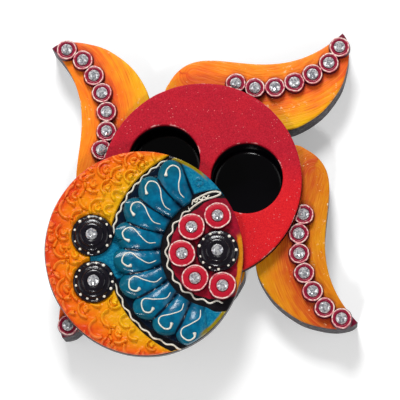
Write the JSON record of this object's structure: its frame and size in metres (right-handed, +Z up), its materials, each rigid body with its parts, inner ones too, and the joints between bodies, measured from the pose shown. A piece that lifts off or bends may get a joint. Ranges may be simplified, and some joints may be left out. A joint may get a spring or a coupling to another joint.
{
  "type": "swing-lid puja box",
  "caption": "Hand-painted wooden pinwheel box for ritual powders, with round wells sunk in its centre and a jewelled round lid that swings aside on a screw.",
  "frame": {"origin": "on the underside, straight below the centre of the round block that holds the wells", "axes": "+Z up out of the wells, +X towards the right-hand well, +Y away from the lid's screw; the lid is swung open towards -X"},
  "size_m": [0.1399, 0.1502, 0.0325],
  "materials": {
    "orange_paint": "hand-painted orange and yellow on board, satin",
    "red_paint": "hand-painted crimson, satin and slightly grainy",
    "black_paint": "black and dark plum paint, satin",
    "orange_clay": "embossed clay, orange to golden paint, lacquered",
    "blue_clay": "blue painted clay, lacquered",
    "maroon_clay": "maroon painted clay, satin",
    "crimson_clay": "crimson painted clay, satin",
    "black_clay": "black painted clay, glossy",
    "white_piping": "hand-piped cream white acrylic line",
    "rhinestone": "foil-backed cut stone",
    "screw_steel": "zinc-plated steel"
  },
  "bodies": {
    "box": {"base_board": "orange_paint", "well_disc": "red_paint", "pivot_screw": "screw_steel", "pivot_washer": "screw_steel", "petal_1_bead_row": "maroon_clay", "petal_2_bead_row": "maroon_clay", "petal_3_bead_row": "maroon_clay", "petal_4_bead_row": "maroon_clay", "petal_1_stone_1": "rhinestone", "petal_1_stone_2": "rhinestone", "petal_1_stone_3": "rhinestone", "petal_1_stone_4": "rhinestone", "petal_1_stone_5": "rhinestone", "petal_1_stone_6": "rhinestone", "petal_1_stone_7": "rhinestone", "petal_2_stone_1": "rhinestone", "petal_2_stone_2": "rhinestone", "petal_2_stone_3": "rhinestone", "petal_2_stone_4": "rhinestone", "petal_2_stone_5": "rhinestone", "petal_2_stone_6": "rhinestone", "petal_2_stone_7": "rhinestone", "petal_3_stone_1": "rhinestone", "petal_3_stone_2": "rhinestone", "petal_3_stone_3": "rhinestone", "petal_3_stone_4": "rhinestone", "petal_3_stone_5": "rhinestone", "petal_3_stone_6": "rhinestone", "petal_3_stone_7": "rhinestone", "petal_4_stone_1": "rhinestone", "petal_4_stone_2": "rhinestone", "petal_4_stone_3": "rhinestone", "petal_4_stone_4": "rhinestone", "petal_4_stone_5": "rhinestone", "petal_4_stone_6": "rhinestone", "petal_4_stone_7": "rhinestone"},
    "lid": {"lid_board": "black_paint", "blue_fan": "blue_clay", "embossed_crescent": "orange_clay", "pivot_rosette": "black_clay", "upper_eye_rosette": "black_clay", "lower_eye_rosette": "black_clay", "lid_bead_1": "crimson_clay", "lid_bead_2": "crimson_clay", "lid_bead_3": "crimson_clay", "lid_bead_4": "crimson_clay", "lid_bead_5": "crimson_clay", "lid_stone_1": "rhinestone", "lid_stone_2": "rhinestone", "lid_stone_3": "rhinestone", "lid_stone_4": "rhinestone", "lid_stone_5": "rhinestone", "pivot_stone": "rhinestone", "upper_eye_stone": "rhinestone", "lower_eye_stone": "rhinestone"}
  },
  "joints": [
    {"name": "lid_swing", "type": "hinge", "parent": "box", "child": "lid", "pos_m": [0.00765, -0.03395, 0.0217], "axis": [0, 0, 1], "range_deg": [-77.4, 102.6]}
  ]
}
